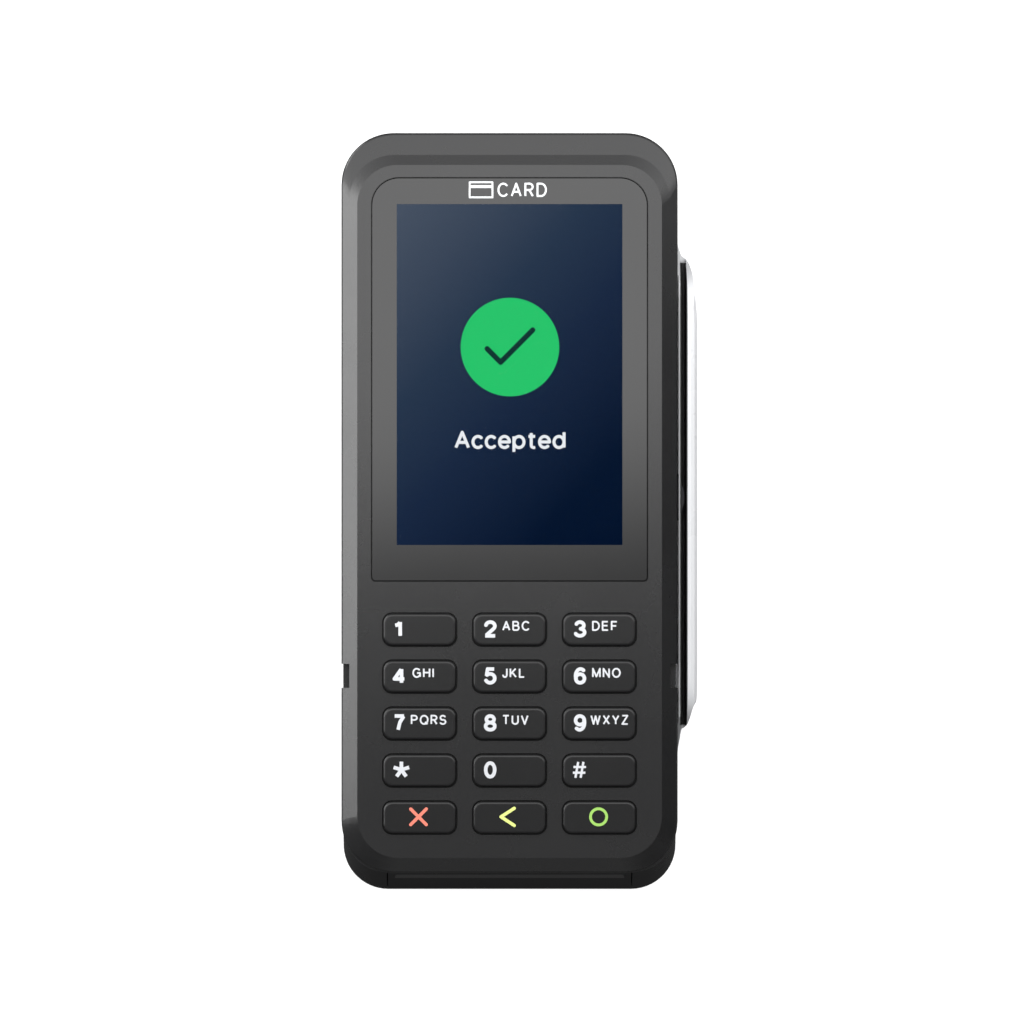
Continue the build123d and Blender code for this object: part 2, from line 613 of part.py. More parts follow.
with BuildPart() as swipe_rail:
    loft(sections=[bulge(RAIL_TOP, 1.5), bulge(RAIL_TOP - 0.4, 0.7), bulge(RAIL_SHOULDER, 0)], ruled=True)
    extrude(bulge(RAIL_SHOULDER, 0), amount=RAIL_BACK - RAIL_SHOULDER)
    plate((LOWER_WIDTH / 2 + RAIL_FACE) / 2, HEAD_V, RAIL_FACE - LOWER_WIDTH / 2, 100.0, PAD_TOP, RAIL_BACK)
    groove(LINER, RAIL_TOP + 3.0, 20.0, 145.0, Mode.SUBTRACT)
    plate(RAIL_FACE, HEAD_V, 2 * (GROOVE_INNER - RAIL_FACE), 140.0, 0, LAND_TOP, 0, Mode.SUBTRACT)
    plate(RAIL_FACE, HEAD_V, 2 * RAIL_GAP, 140.0, 0, PAD_TOP, 0, Mode.SUBTRACT)
    ramps(0)
    head_window(LOWER_WIDTH / 2 - 0.1, GROOVE_INNER - LOWER_WIDTH / 2)
    with BuildSketch(side(38.2)) as stakes:
        with Locations((60, -14), (125, -14)):
            Circle(1.5)
    extrude(stakes.sketch, amount=3.2)
swipe_rail.part.label = "swipe_rail"
export_step(swipe_rail.part, "parts/swipe_rail.step")

with BuildPart() as swipe_liner:
    groove(LINER, RAIL_TOP - 0.4, 36.0, 113.8, Mode.ADD)
    groove(0, RAIL_TOP + 3.0, 30.0, 130.0, Mode.SUBTRACT)
    plate(RAIL_FACE, HEAD_V, 2 * (GROOVE_INNER - RAIL_FACE), 140.0, 0, LAND_TOP - 0.2, 0, Mode.SUBTRACT)
    ramps(0.3)
    head_window(RAIL_FACE, GROOVE_INNER - RAIL_FACE + 0.1)
swipe_liner.part.label = "swipe_liner"
export_step(swipe_liner.part, "parts/swipe_liner.step")

with BuildPart() as mag_head:
    with BuildSketch(side(HEAD_BACK_U)) as head:
        with Locations((HEAD_V, HEAD_H)):
            Rectangle(11.4, 7.6)
    extrude(head.sketch, amount=GROOVE_INNER - 0.6 - HEAD_BACK_U)
    with BuildSketch(face(HEAD_H + 3.8)) as nose:
        with BuildLine():
            ThreePointArc(
                (GROOVE_INNER - 0.7, HEAD_V - 4.5), (GROOVE_INNER + 0.8, HEAD_V), (GROOVE_INNER - 0.7, HEAD_V + 4.5)
            )
            Line((GROOVE_INNER - 0.7, HEAD_V + 4.5), (GROOVE_INNER - 0.7, HEAD_V - 4.5))
        make_face()
    extrude(nose.sketch, amount=-7.6)
mag_head.part.label = "mag_head"
export_step(mag_head.part, "parts/mag_head.step")

with BuildPart() as head_spring:
    plate(HEAD_BACK_U - SPRING_THICKNESS / 2, HEAD_V, SPRING_THICKNESS, 26.0, HEAD_H + 1.2, HEAD_H - 2.2)
head_spring.part.label = "head_spring"
export_step(head_spring.part, "parts/head_spring.step")

# Rear port, service door and the card sockets behind it
with BuildPart() as port_connector:
    block(0, 166.25, 13.0, 12.5, PORT_Z - 2.5, PORT_Z + 2.5)
    block(0, 171.0, 11.0, 6.0, PORT_Z - 1.6, PORT_Z + 1.6, Mode.SUBTRACT)
    block(0, 170.0, 8.0, 4.4, PORT_Z - 0.4, PORT_Z + 0.4)
port_connector.part.label = "port_connector"
export_step(port_connector.part, "parts/port_connector.step")

with BuildPart() as port_board:
    block(0, 159.2, 24.0, 16.0, PORT_Z - 4.1, PORT_Z - 2.5)
port_board.part.label = "port_board"
export_step(port_board.part, "parts/port_board.step")

with BuildPart() as service_door:
    block(0, DOOR_D, DOOR_WIDTH - 0.5, DOOR_LENGTH - 0.5, FLOOR_BOTTOM, FLOOR_TOP)
    chamfer(faces().sort_by(Axis.Z)[0].edges(), 0.3)
    rounds([(0, DOOR_D - 13.0)], 5.0, FLOOR_BOTTOM, FLOOR_BOTTOM + 1.0, Mode.SUBTRACT)
    rounds([(0, DOOR_D - 13.0)], 2.4, FLOOR_BOTTOM, FLOOR_TOP, Mode.SUBTRACT)
service_door.part.label = "service_door"
export_step(service_door.part, "parts/service_door.step")

with BuildPart() as service_door_screw:
    rounds([(0, DOOR_D - 13.0)], 4.6, FLOOR_BOTTOM + 0.1, FLOOR_BOTTOM + 1.0)
    rounds([(0, DOOR_D - 13.0)], 2.4, FLOOR_BOTTOM + 1.0, FLOOR_TOP + 1.5)
service_door_screw.part.label = "service_door_screw"
export_step(service_door_screw.part, "parts/service_door_screw.step")

with BuildPart() as sam_board:
    block(0, DOOR_D, 53.0, 29.0, 8.0, 9.0)
sam_board.part.label = "sam_board"
export_step(sam_board.part, "parts/sam_board.step")

with BuildPart() as sam_sockets:
    for u in (-11.0, 11.0):
        block(u, DOOR_D + 3.0, 18.0, 22.0, 5.5, 8.0)
        block(u, DOOR_D + 3.0, 13.0, 17.0, 5.5, 6.3, Mode.SUBTRACT)
sam_sockets.part.label = "sam_sockets"
export_step(sam_sockets.part, "parts/sam_sockets.step")

# Feet, label, inserts and screws
with BuildPart() as rubber_feet:
    rounds(FEET, 12.0, 0, FLOOR_BOTTOM + 0.8)
    chamfer(edges().group_by(Axis.Z)[0], 0.4)
rubber_feet.part.label = "rubber_feet"
export_step(rubber_feet.part, "parts/rubber_feet.step")

with BuildPart() as rating_label:
    block(0, LABEL_D, 56.0, 24.0, FLOOR_BOTTOM + 0.05, FLOOR_BOTTOM + 0.25)
rating_label.part.label = "rating_label"
export_step(rating_label.part, "parts/rating_label.step")

with BuildPart() as mounting_inserts:
    rounds(INSERTS, 5.0, FLOOR_BOTTOM, FLOOR_BOTTOM + 5.0)
    rounds(INSERTS, 3.0, FLOOR_BOTTOM, FLOOR_BOTTOM + 5.0, Mode.SUBTRACT)
mounting_inserts.part.label = "mounting_inserts"
export_step(mounting_inserts.part, "parts/mounting_inserts.step")

with BuildPart() as case_screws:
    for u, d in CASE_SCREWS:
        seat = level(d, CASE_JOINT) - 5.0
        rounds([(u, d)], 5.4, seat - 2.0, seat)
        rounds([(u, d)], 2.6, seat, seat + 10.0)
        rounds([(u, d)], 2.4, seat - 2.0, seat - 0.9, Mode.SUBTRACT)
case_screws.part.label = "case_screws"
export_step(case_screws.part, "parts/case_screws.step")

with BuildPart() as board_screws:
    for places, head, reach in (
        (KEYPAD_SCREWS, KEYPAD_BOARD_BACK, 3.0),
        (BRACKET_SCREWS, BRACKET_BACK, 2.4),
    ):
        pegs(places, 3.0, head, head - 0.9)
        pegs(places, 1.5, head + reach, head)
    for places, head, reach in (
        (READER_SCREWS, READER_TOP, 8.0),
        (MAIN_BOARD_SCREWS, MAIN_BOARD_TOP, 5.0),
    ):
        pegs(places, 3.0, head + 0.9, head)
        pegs(places, 1.5, head, head - reach)
board_screws.part.label = "board_screws"
export_step(board_screws.part, "parts/board_screws.step")
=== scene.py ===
import json
import math

import bmesh
import bpy
from mathutils import Matrix, Vector
from mathutils.geometry import delaunay_2d_cdt


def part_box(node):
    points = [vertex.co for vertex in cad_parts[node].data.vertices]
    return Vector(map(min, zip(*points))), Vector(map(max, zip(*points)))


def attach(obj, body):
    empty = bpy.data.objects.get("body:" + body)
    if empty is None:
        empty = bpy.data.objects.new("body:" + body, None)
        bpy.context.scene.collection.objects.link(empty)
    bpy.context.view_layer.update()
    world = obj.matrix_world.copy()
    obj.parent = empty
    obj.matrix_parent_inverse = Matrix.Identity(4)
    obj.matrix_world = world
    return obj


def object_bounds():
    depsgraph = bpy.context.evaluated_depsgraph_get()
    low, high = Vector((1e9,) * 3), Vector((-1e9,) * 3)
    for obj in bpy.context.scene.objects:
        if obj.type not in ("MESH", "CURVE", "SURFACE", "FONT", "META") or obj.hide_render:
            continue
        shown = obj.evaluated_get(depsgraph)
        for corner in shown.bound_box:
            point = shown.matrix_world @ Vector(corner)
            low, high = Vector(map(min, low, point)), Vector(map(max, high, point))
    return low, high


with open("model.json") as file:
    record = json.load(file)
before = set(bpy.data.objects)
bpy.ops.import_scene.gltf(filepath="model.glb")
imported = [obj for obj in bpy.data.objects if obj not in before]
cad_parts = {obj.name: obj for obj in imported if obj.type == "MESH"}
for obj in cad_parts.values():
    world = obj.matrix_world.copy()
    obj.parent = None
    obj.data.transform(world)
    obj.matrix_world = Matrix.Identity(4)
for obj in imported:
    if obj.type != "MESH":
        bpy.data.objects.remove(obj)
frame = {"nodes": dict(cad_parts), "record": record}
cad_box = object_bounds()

# A countertop card payment terminal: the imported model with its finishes, the printed legends,
# the picture on the display and a plain studio. Lengths in metres; mm() turns millimetres into metres.


def mm(value):
    return value / 1000.0


def srgb(red, green, blue):
    """A colour given as 0-255 display values, turned linear, with alpha 1."""
    def linear(value):
        value /= 255.0
        return value / 12.92 if value <= 0.04045 else ((value + 0.055) / 1.055) ** 2.4
    return (linear(red), linear(green), linear(blue), 1.0)


# ---------------------------------------------------------------- places on the face
# Lengths up to CENTRE_X are in millimetres: v runs up the face from the front lip.
TILT = math.radians(7.0)
ACROSS = Vector((1, 0, 0))
UP_FACE = Vector((0, math.cos(TILT), math.sin(TILT)))
OUT_OF_FACE = Vector((0, -math.sin(TILT), math.cos(TILT)))

LENS_V = (71.4, 170.5)
LENS_CHAMFER = 0.2
KEY_TOP = 1.1
SCREEN_CENTRE_V = 122.15
SCREEN_HALF_WIDTH, SCREEN_HALF_LENGTH = 27.7, 41.85
SCREEN_DEPTH = 1.3
LENS_LOW, LENS_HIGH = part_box("display_lens")
CENTRE_X = (LENS_LOW[0] + LENS_HIGH[0]) / 2
# The lens's rear top edge is its highest line and fixes where the face plane lies.
LIP_Z = LENS_HIGH[2] - mm(LENS_V[1] - LENS_CHAMFER) * math.sin(TILT)
LIP_Y = LENS_LOW[1] - mm(LENS_V[0] * math.cos(TILT) + LENS_CHAMFER * math.sin(TILT))
FACE_ORIGIN = Vector((CENTRE_X, LIP_Y, LIP_Z))


def on_face(u, v, h=0.0):
    """The point u across, v up the face and h above it, all in millimetres."""
    return FACE_ORIGIN + ACROSS * mm(u) + UP_FACE * mm(v) + OUT_OF_FACE * mm(h)


def face_matrix(u, v, h):
    """Turns a flat drawing in millimetres, x across and y up, into its place on the face."""
    turn = Matrix((ACROSS, UP_FACE, OUT_OF_FACE)).transposed().to_4x4()
    return Matrix.Translation(on_face(u, v, h)) @ turn @ Matrix.Scale(0.001, 4)


# ---------------------------------------------------------------- shader groups
def new_group(name, inputs, outputs):
    """An empty node group with the given sockets, and its in and out nodes."""
    group = bpy.data.node_groups.new(name, "ShaderNodeTree")
    for label, kind, value in inputs:
        socket = group.interface.new_socket(name=label, in_out="INPUT", socket_type=kind)
        socket.default_value = value
    for label, kind in outputs:
        group.interface.new_socket(name=label, in_out="OUTPUT", socket_type=kind)
    return group, group.nodes.new("NodeGroupInput"), group.nodes.new("NodeGroupOutput")


FLOAT, VECTOR = "NodeSocketFloat", "NodeSocketVector"


def math_node(tree, operation, *values, clamp=False):
    """A Math node whose inputs are sockets or numbers; returns its output."""
    node = tree.nodes.new("ShaderNodeMath")
    node.operation = operation
    node.use_clamp = clamp
    for socket, value in zip(node.inputs, values):
        if isinstance(value, (int, float)):
            socket.default_value = value
        else:
            tree.links.new(value, socket)
    return node.outputs[0]


def noise(tree, vector, scale, detail=2.0, roughness=0.5):
    """A noise texture over the given coordinates; returns its value."""
    node = tree.nodes.new("ShaderNodeTexNoise")
    node.inputs["Detail"].default_value = detail
    node.inputs["Roughness"].default_value = roughness
    tree.links.new(vector, node.inputs["Vector"])
    if isinstance(scale, (int, float)):
        node.inputs["Scale"].default_value = scale
    else:
        tree.links.new(scale, node.inputs["Scale"])
    return node.outputs["Fac"]


def make_grain_group():
    """Spark-eroded grain of a moulding tool: fine pits over a slow unevenness."""
    group, given, out = new_group(
        "moulded_grain",
        [("Pits per metre", FLOAT, 3200.0), ("Slow part", FLOAT, 0.35)],
        [("Height", FLOAT)],
    )
    place = group.nodes.new("ShaderNodeTexCoord").outputs["Object"]
    cells = group.nodes.new("ShaderNodeTexVoronoi")
    cells.feature = "SMOOTH_F1"
    group.links.new(place, cells.inputs["Vector"])
    group.links.new(given.outputs["Pits per metre"], cells.inputs["Scale"])
    coarse_scale = math_node(group, "MULTIPLY", given.outputs["Pits per metre"], 0.31)
    coarse = noise(group, place, coarse_scale, detail=3.0)
    slow = math_node(group, "MULTIPLY", coarse, given.outputs["Slow part"])
    height = math_node(group, "ADD", cells.outputs["Distance"], slow)
    group.links.new(height, out.inputs["Height"])
    return group


def make_handling_group():
    """Roughness that varies a little where hands and cloths have been."""
    group, given, out = new_group(
        "handled_surface",
        [("Roughness", FLOAT, 0.3), ("Spread", FLOAT, 0.05), ("Patches per metre", FLOAT, 45.0)],
        [("Roughness", FLOAT)],
    )
    place = group.nodes.new("ShaderNodeTexCoord").outputs["Object"]
    patches = noise(group, place, given.outputs["Patches per metre"], detail=4.0, roughness=0.6)
    centred = math_node(group, "SUBTRACT", patches, 0.5)
    shift = math_node(group, "MULTIPLY", centred, given.outputs["Spread"])
    total = math_node(group, "MULTIPLY_ADD", shift, 2.0, given.outputs["Roughness"])
    group.links.new(total, out.inputs["Roughness"])
    return group


def make_face_place_group():
    """Where a point lies on the face: u and v, counted from a centre in half widths."""
    group, given, out = new_group(
        "place_on_face",
        [("Centre", VECTOR, (0, 0, 0)), ("Half width", FLOAT, 0.03), ("Half length", FLOAT, 0.04)],
        [("Across", FLOAT), ("Along", FLOAT), ("Inside", FLOAT)],
    )
    place = group.nodes.new("ShaderNodeTexCoord").outputs["Object"]
    offset = group.nodes.new("ShaderNodeVectorMath")
    offset.operation = "SUBTRACT"
    group.links.new(place, offset.inputs[0])
    group.links.new(given.outputs["Centre"], offset.inputs[1])
    shares = []
    for direction, size in ((ACROSS, "Half width"), (UP_FACE, "Half length")):
        dot = group.nodes.new("ShaderNodeVectorMath")
        dot.operation = "DOT_PRODUCT"
        dot.inputs[1].default_value = direction
        group.links.new(offset.outputs[0], dot.inputs[0])
        shares.append(math_node(group, "DIVIDE", dot.outputs["Value"], given.outputs[size]))
    reach = math_node(
        group, "MAXIMUM", math_node(group, "ABSOLUTE", shares[0]), math_node(group, "ABSOLUTE", shares[1])
    )
    inside = math_node(group, "LESS_THAN", reach, 1.0)
    group.links.new(shares[0], out.inputs["Across"])
    group.links.new(shares[1], out.inputs["Along"])
    group.links.new(inside, out.inputs["Inside"])
    return group


GRAIN = make_grain_group()
HANDLING = make_handling_group()
FACE_PLACE = make_face_place_group()


def place_group(tree, group, **values):
    """The group as a node, with values set on its inputs; underscores stand for spaces."""
    node = tree.nodes.new("ShaderNodeGroup")
    node.node_tree = group
    for label, value in values.items():
        node.inputs[label.replace("_", " ")].default_value = value
    return node


# ---------------------------------------------------------------- materials
def new_material(name, colour, roughness, metallic=0.0):
    """A material with one Principled BSDF, which is returned with it."""
    material = bpy.data.materials.new(name)
    material.use_nodes = True
    shader = material.node_tree.nodes["Principled BSDF"]
    shader.inputs["Base Color"].default_value = colour
    shader.inputs["Roughness"].default_value = roughness
    shader.inputs["Metallic"].default_value = metallic
    return material, shader


def add_bump(tree, shader, height, strength, distance):
    bump = tree.nodes.new("ShaderNodeBump")
    bump.inputs["Strength"].default_value = strength
    bump.inputs["Distance"].default_value = distance
    tree.links.new(height, bump.inputs["Height"])
    tree.links.new(bump.outputs["Normal"], shader.inputs["Normal"])


def moulded(name, colour, roughness, grain=3200.0, depth=0.25, spread=0.05, gloss=0.5):
    """Moulded plastic or rubber: fine grain and an uneven sheen."""
    material, shader = new_material(name, colour, roughness)
    shader.inputs["Specular IOR Level"].default_value = gloss
    tree = material.node_tree
    grain_node = place_group(tree, GRAIN, Pits_per_metre=grain)
    add_bump(tree, shader, grain_node.outputs["Height"], depth, mm(0.03))
    handled = place_group(tree, HANDLING, Roughness=roughness, Spread=spread)
    tree.links.new(handled.outputs["Roughness"], shader.inputs["Roughness"])
    tone = noise(tree, tree.nodes.new("ShaderNodeTexCoord").outputs["Object"], 22.0, detail=3.0)
    mix = tree.nodes.new("ShaderNodeMix")
    mix.data_type = "RGBA"
    mix.inputs[6].default_value = tuple(c * 0.9 for c in colour[:3]) + (1.0,)
    mix.inputs[7].default_value = tuple(min(1.0, c * 1.1) for c in colour[:3]) + (1.0,)
    tree.links.new(tone, mix.inputs[0])
    tree.links.new(mix.outputs[2], shader.inputs["Base Color"])
    return material


def sheet_metal(name, colour, roughness, stretch=(40.0, 2600.0, 40.0)):
    """Rolled or drawn metal with fine lines along one direction."""
    material, shader = new_material(name, colour, roughness, metallic=1.0)
    tree = material.node_tree
    scaled = tree.nodes.new("ShaderNodeMapping")
    scaled.inputs["Scale"].default_value = stretch
    tree.links.new(tree.nodes.new("ShaderNodeTexCoord").outputs["Object"], scaled.inputs["Vector"])
    lines = noise(tree, scaled.outputs["Vector"], 1.0, detail=3.0)
    tree.links.new(math_node(tree, "MULTIPLY_ADD", lines, 0.2, roughness - 0.1), shader.inputs["Roughness"])
    add_bump(tree, shader, lines, 0.15, mm(0.02))
    return material


def circuit_board(name):
    """Green solder mask with paler copper tracks under it."""
    material, shader = new_material(name, (0.01, 0.12, 0.045, 1.0), 0.3)
    tree = material.node_tree
    brick = tree.nodes.new("ShaderNodeTexBrick")
    brick.inputs["Scale"].default_value = 260.0
    brick.inputs["Mortar Size"].default_value = 0.03
    brick.inputs["Color1"].default_value = (0.008, 0.11, 0.04, 1.0)
    brick.inputs["Color2"].default_value = (0.01, 0.13, 0.05, 1.0)
    brick.inputs["Mortar"].default_value = (0.04, 0.26, 0.09, 1.0)
    tree.links.new(tree.nodes.new("ShaderNodeTexCoord").outputs["Object"], brick.inputs["Vector"])
    tree.links.new(brick.outputs["Color"], shader.inputs["Base Color"])
    add_bump(tree, shader, brick.outputs["Fac"], 0.2, mm(0.03))
    return material


def printed(name, colour, roughness=0.45):
    """Ink or a laser mark: thin and slightly uneven."""
    return moulded(name, colour, roughness, grain=5200.0, depth=0.08, spread=0.03)


def lit(name, colour, strength=1.0):
    """A part of the picture on the display: black glass that gives its own light."""
    material, shader = new_material(name, (0.002, 0.002, 0.002, 1.0), 0.5)
    tree = material.node_tree
    grid = noise(tree, tree.nodes.new("ShaderNodeTexCoord").outputs["Object"], 9000.0, detail=0.0)
    mix = tree.nodes.new("ShaderNodeMix")
    mix.data_type = "RGBA"
    mix.inputs[6].default_value = tuple(c * 0.96 for c in colour[:3]) + (1.0,)
    mix.inputs[7].default_value = tuple(min(1.0, c * 1.04) for c in colour[:3]) + (1.0,)
    tree.links.new(grid, mix.inputs[0])
    tree.links.new(mix.outputs[2], shader.inputs["Emission Color"])
    shader.inputs["Emission Strength"].default_value = strength
    shader.inputs["Specular IOR Level"].default_value = 0.0
    return material


LENS_CLEARNESS = 0.99


def place_on_screen(tree, depth=0.0):
    """The place group counted from the middle of the picture, depth millimetres under the face."""
    return place_group(
        tree,
        FACE_PLACE,
        Centre=on_face(0, SCREEN_CENTRE_V, -depth),
        Half_width=mm(SCREEN_HALF_WIDTH),
        Half_length=mm(SCREEN_HALF_LENGTH),
    )


# The picture's background from its front right to its rear left, paler to the rear left by a painted
# reflection of the overhead light
PICTURE_AND_PAINTED_REFLECTION_STOPS = (
    (0.0, (0, 15, 41)),
    (0.17, (1, 17, 43)),
    (0.45, (21, 37, 63)),
    (0.65, (36, 52, 74)),
    (1.0, (70, 81, 98)),
)


def make_display():
    """The lit panel: a navy picture that is paler towards the rear left by a painted reflection, dark
    outside it.
    """
    material, shader = new_material("display_picture_painted_reflection", (0.0003, 0.0003, 0.0004, 1.0), 0.5)
    tree = material.node_tree
    place = place_on_screen(tree, SCREEN_DEPTH)
    # Painted reflection: the glow slants paler from the front right to the rear left.
    across = math_node(tree, "MULTIPLY", place.outputs["Across"], -0.21)
    along = math_node(tree, "MULTIPLY", place.outputs["Along"], 0.29)
    slant = math_node(tree, "ADD", math_node(tree, "ADD", across, along), 0.5, clamp=True)
    ramp = tree.nodes.new("ShaderNodeValToRGB")
    while len(ramp.color_ramp.elements) < len(PICTURE_AND_PAINTED_REFLECTION_STOPS):
        ramp.color_ramp.elements.new(0.5)
    for element, (position, colour) in zip(ramp.color_ramp.elements, PICTURE_AND_PAINTED_REFLECTION_STOPS):
        element.position = position
        element.color = srgb(*colour)
    tree.links.new(slant, ramp.inputs["Fac"])
    shown = tree.nodes.new("ShaderNodeMix")
    shown.data_type = "RGBA"
    shown.inputs[6].default_value = (0.0, 0.0, 0.0, 1.0)
    tree.links.new(place.outputs["Inside"], shown.inputs[0])
    tree.links.new(ramp.outputs["Color"], shown.inputs[7])
    tree.links.new(shown.outputs[2], shader.inputs["Emission Color"])
    shader.inputs["Emission Strength"].default_value = 1.0 / LENS_CLEARNESS
    shader.inputs["Specular IOR Level"].default_value = 0.0
    return material


LENS_SHEEN = 0.16


def make_lens():
    """Hard-coated cover: dark print round the picture, and clear over it."""
    material, shader = new_material("lens_cover", srgb(6, 6, 7), LENS_SHEEN)
    shader.inputs["Specular IOR Level"].default_value = 0.56
    tree = material.node_tree
    place = place_on_screen(tree)
    alpha = math_node(tree, "MULTIPLY_ADD", place.outputs["Inside"], -LENS_CLEARNESS, 1.0)
    tree.links.new(alpha, shader.inputs["Alpha"])
    handled = place_group(tree, HANDLING, Roughness=LENS_SHEEN, Spread=0.03, Patches_per_metre=70.0)
    tree.links.new(handled.outputs["Roughness"], shader.inputs["Roughness"])
    return material


BODY_TONE = srgb(17, 17, 18)
MATERIALS = {
    "body": moulded("body_shell", BODY_TONE, 0.27),
    "bezel": moulded("slot_bezel", srgb(15, 15, 16), 0.32),
    "keys": moulded("key_cap", srgb(14, 14, 15), 0.32, grain=3800.0, depth=0.2, gloss=0.36),
    "lens": make_lens(),
    "display": make_display(),
    "adhesive": moulded("black_tape", srgb(14, 14, 15), 0.7),
    "rail": moulded("pale_rail", srgb(192, 193, 195), 0.28, grain=2600.0, depth=0.12),
    "black_plastic": moulded("black_moulding", srgb(13, 13, 14), 0.5),
    "white_plastic": moulded("white_moulding", srgb(214, 212, 204), 0.45),
    "silicone": moulded("silicone", srgb(74, 75, 78), 0.6, grain=2400.0),
    "feet": moulded("foot_rubber", srgb(38, 38, 40), 0.75, grain=1800.0, depth=0.5),
    "label": moulded("label_film", srgb(196, 198, 200), 0.5, grain=4200.0, depth=0.1),
    "ferrite": moulded("ferrite", srgb(44, 44, 47), 0.55),
    "flex": moulded("polyimide", srgb(178, 104, 34), 0.3, depth=0.08),
    "board": circuit_board("solder_mask"),
    # Painted shade: the swipe head is near black so it reads as dark as the shaded groove it sits in.
    "head": sheet_metal("head_metal_painted_shade", (0.03, 0.03, 0.032, 1.0), 0.4),
    "steel": sheet_metal("sheet_steel", (0.56, 0.56, 0.57, 1.0), 0.32),
    "screws": sheet_metal("screw_steel", (0.2, 0.2, 0.21, 1.0), 0.35, (900.0, 900.0, 60.0)),
    "brass": sheet_metal("brass", (0.72, 0.5, 0.19, 1.0), 0.3),
    "gold": sheet_metal("gold_plate", (0.9, 0.62, 0.22, 1.0), 0.22),
}

slot_of_node = {part["node"]: part["material_slot"] for part in frame["record"]["subparts"]}
for node, piece in frame["nodes"].items():
    piece.data.materials.clear()
    piece.data.materials.append(MATERIALS[slot_of_node[node]])


# ---------------------------------------------------------------- flat drawings
def add_piece(name, mesh, material, body):
    """Links the mesh as a piece that rides on a body and takes the given finish."""
    piece = bpy.data.objects.new(name, mesh)
    bpy.context.scene.collection.objects.link(piece)
    mesh.materials.clear()
    mesh.materials.append(material)
    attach(piece, body)
    return piece


def outline_mesh(name, loops, thickness, matrix):
    """A thin plate over all the outlines together, in millimetres, placed by the matrix."""
    points, faces = [], []
    for loop in loops:
        faces.append(list(range(len(points), len(points) + len(loop))))
        points += [Vector(point) for point in loop]
    corners, _, triangles, _, _, sources = delaunay_2d_cdt(points, [], faces, 1, 1e-4, True)
    shape = bmesh.new()
    verts = [shape.verts.new((x, y, 0.0)) for x, y in corners]
    for triangle, source in zip(triangles, sources):
        if source:
            shape.faces.new([verts[i] for i in triangle])
    bmesh.ops.delete(shape, geom=[vert for vert in verts if not vert.link_faces], context="VERTS")
    raised = bmesh.ops.extrude_face_region(shape, geom=shape.faces[:])
    top = [item for item in raised["geom"] if isinstance(item, bmesh.types.BMVert)]
    bmesh.ops.translate(shape, verts=top, vec=(0, 0, thickness))
    bmesh.ops.recalc_face_normals(shape, faces=shape.faces)
    shape.transform(matrix)
    mesh = bpy.data.meshes.new(name)
    shape.to_mesh(mesh)
    shape.free()
    return mesh


def arc(centre, radius, start, end, steps):
    """Points along an arc, with angles in degrees."""
    angles = [math.radians(start + (end - start) * i / steps) for i in range(steps + 1)]
    return [(centre[0] + radius * math.cos(a), centre[1] + radius * math.sin(a)) for a in angles]


def nib(point, width):
    """A disc as wide as the pen, which fills a turn or rounds off an end."""
    return arc(point, width / 2, 0, 340, 17)


def ribbon(points, width):
    """A pen line through the points, with flat ends and rounded turns."""
    points = [Vector(point) for point in points]
    closed = (points[0] - points[-1]).length < 1e-6
    loops = []
    for start, end in zip(points, points[1:]):
        side = (end - start).orthogonal().normalized() * width / 2
        loops.append([tuple(corner) for corner in (start + side, start - side, end - side, end + side)])
    turns = points[1:] if closed else points[1:-1]
    return loops + [nib(turn, width) for turn in turns]


def oval(centre, across, up, start=0, end=360):
    """Points along an oval or a part of one, with angles in degrees."""
    return [(centre[0] + across * x, centre[1] + up * y) for x, y in arc((0, 0), 1, start, end, 28)]


def frame_strokes(width, height, line):
    """A rectangle's outline as one closed pen line."""
    x, y = width / 2, height / 2
    return ribbon([(-x, -y), (x, -y), (x, y), (-x, y), (-x, -y)], line)


